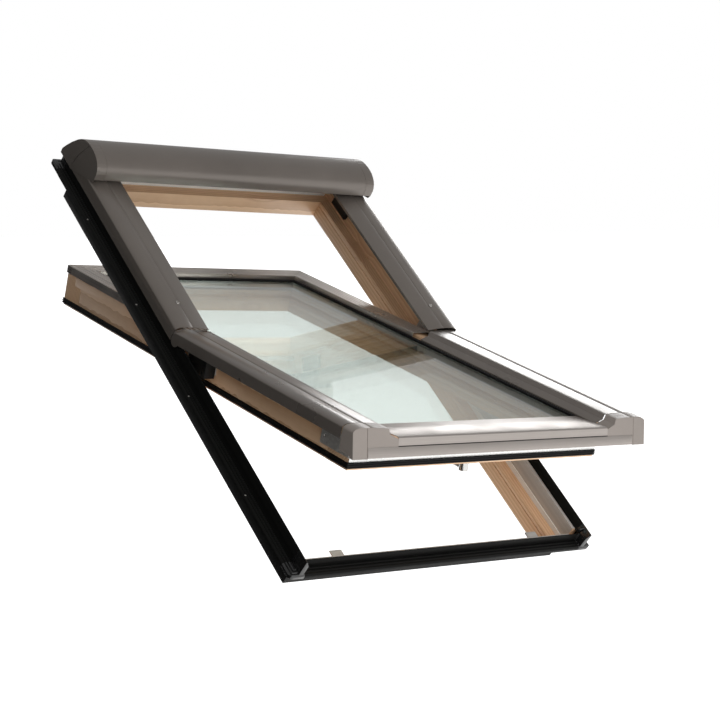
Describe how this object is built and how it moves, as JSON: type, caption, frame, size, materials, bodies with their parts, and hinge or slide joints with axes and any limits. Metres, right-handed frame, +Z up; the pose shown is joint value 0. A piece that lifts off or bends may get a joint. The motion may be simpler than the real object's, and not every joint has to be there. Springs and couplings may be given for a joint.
{
  "type": "roof window",
  "caption": "Centre-pivot roof window for a pitched roof: wooden frame with a black drain profile, open wooden sash with double glazing, folded metal covers and a hood.",
  "frame": {"origin": "middle of the strip on which the bottom drain profile rests on the roof battens", "axes": "+Z up; +X to the right as seen from outside the roof; +Y level, into the roof and up the slope, which rises toward +Y at 45 degrees"},
  "size_m": [0.78, 1.082, 0.8874],
  "materials": {
    "frame_wood": "clear lacquered pine, satin, straight grain along each bar",
    "sash_wood": "clear lacquered pine, satin, straight grain along each bar",
    "black_profile": "extruded black profile, semi-gloss, with fine ridges",
    "gloss_corner": "moulded black, glossy",
    "lining_metal": "thin folded sheet, dull",
    "foam": "pale closed-cell foam, matt",
    "cladding": "warm grey lacquer with a fine texture, satin",
    "cap_plastic": "moulded, warm grey, fine texture, satin",
    "ribbed_bar": "extruded and drawn, fine ribs, satin",
    "steel": "zinc plated, dull",
    "black_plastic": "moulded black, matt",
    "seal_rubber": "soft black rubber",
    "carrier_metal": "bright extruded strip",
    "glass": "clear float glass, faint green tint",
    "handle_metal": "satin anodised"
  },
  "bodies": {
    "frame": {"frame_head_rail": "frame_wood", "frame_sill_rail": "frame_wood", "frame_jamb_left": "frame_wood", "frame_jamb_right": "frame_wood", "drain_profile_top": "black_profile", "drain_profile_bottom": "black_profile", "drain_profile_left": "black_profile", "drain_profile_right": "black_profile", "profile_corner_bottom_left": "gloss_corner", "profile_corner_bottom_right": "gloss_corner", "profile_corner_top_left": "gloss_corner", "profile_corner_top_right": "gloss_corner", "rebate_lining_left": "lining_metal", "rebate_lining_right": "lining_metal", "rebate_lining_sill": "lining_metal", "foam_strips": "foam", "hood": "cladding", "hood_end_cap_left": "cladding", "hood_end_cap_right": "cladding", "hood_clips": "steel", "corner_blocks": "black_plastic", "upper_cover_left": "cladding", "upper_cover_right": "cladding", "upper_cover_gaskets": "seal_rubber", "cover_screws": "steel", "frame_hinge_left": "steel", "frame_hinge_right": "steel", "hinge_plate_screws": "steel", "lock_keeps": "steel"},
    "sash": {"hinge_housings": "black_plastic", "sash_top_rail": "sash_wood", "sash_bottom_rail": "sash_wood", "sash_stile_left": "sash_wood", "sash_stile_right": "sash_wood", "glass_outer_pane": "glass", "glass_inner_pane": "glass", "glass_spacer": "carrier_metal", "glass_edge_seal": "seal_rubber", "setting_blocks": "black_plastic", "top_glazing_bar": "ribbed_bar", "glazing_bar_left": "ribbed_bar", "glazing_bar_right": "ribbed_bar", "glazing_gasket": "seal_rubber", "lower_cover_left": "cladding", "lower_cover_right": "cladding", "bottom_cover": "ribbed_bar", "drip_strip": "ribbed_bar", "corner_cap_left": "cap_plastic", "corner_cap_right": "cap_plastic", "sash_seal": "seal_rubber", "seal_carrier": "carrier_metal", "sash_hinge_left": "steel", "sash_hinge_right": "steel", "corner_drive_left": "steel", "corner_drive_right": "steel", "lock_gear_case": "steel", "handle_base": "handle_metal"},
    "handle": {"handle": "handle_metal"},
    "lock_rod_left": {"lock_rod_left": "steel"},
    "lock_rod_right": {"lock_rod_right": "steel"}
  },
  "joints": [
    {"name": "sash_pivot", "type": "hinge", "parent": "frame", "child": "sash", "pos_m": [0, 0.37724, 0.4331], "axis": [-1, 0, 0], "range_deg": [-26.5, 33]},
    {"name": "handle_turn", "type": "hinge", "parent": "sash", "child": "handle", "pos_m": [0, -0.06015, 0.20081], "axis": [0, -0.3173, 0.9483], "range_deg": [0, 90]},
    {"name": "lock_rod_left_slide", "type": "slide", "parent": "sash", "child": "lock_rod_left", "axis": [-1, 0, 0], "range_m": [0, 0.014]},
    {"name": "lock_rod_right_slide", "type": "slide", "parent": "sash", "child": "lock_rod_right", "axis": [1, 0, 0], "range_m": [0, 0.014]}
  ],
  "couplings": [
    {"joint": "lock_rod_left_slide", "follows": "handle_turn", "m_per_rad": 0.0089126},
    {"joint": "lock_rod_right_slide", "follows": "handle_turn", "m_per_rad": 0.0089126}
  ]
}
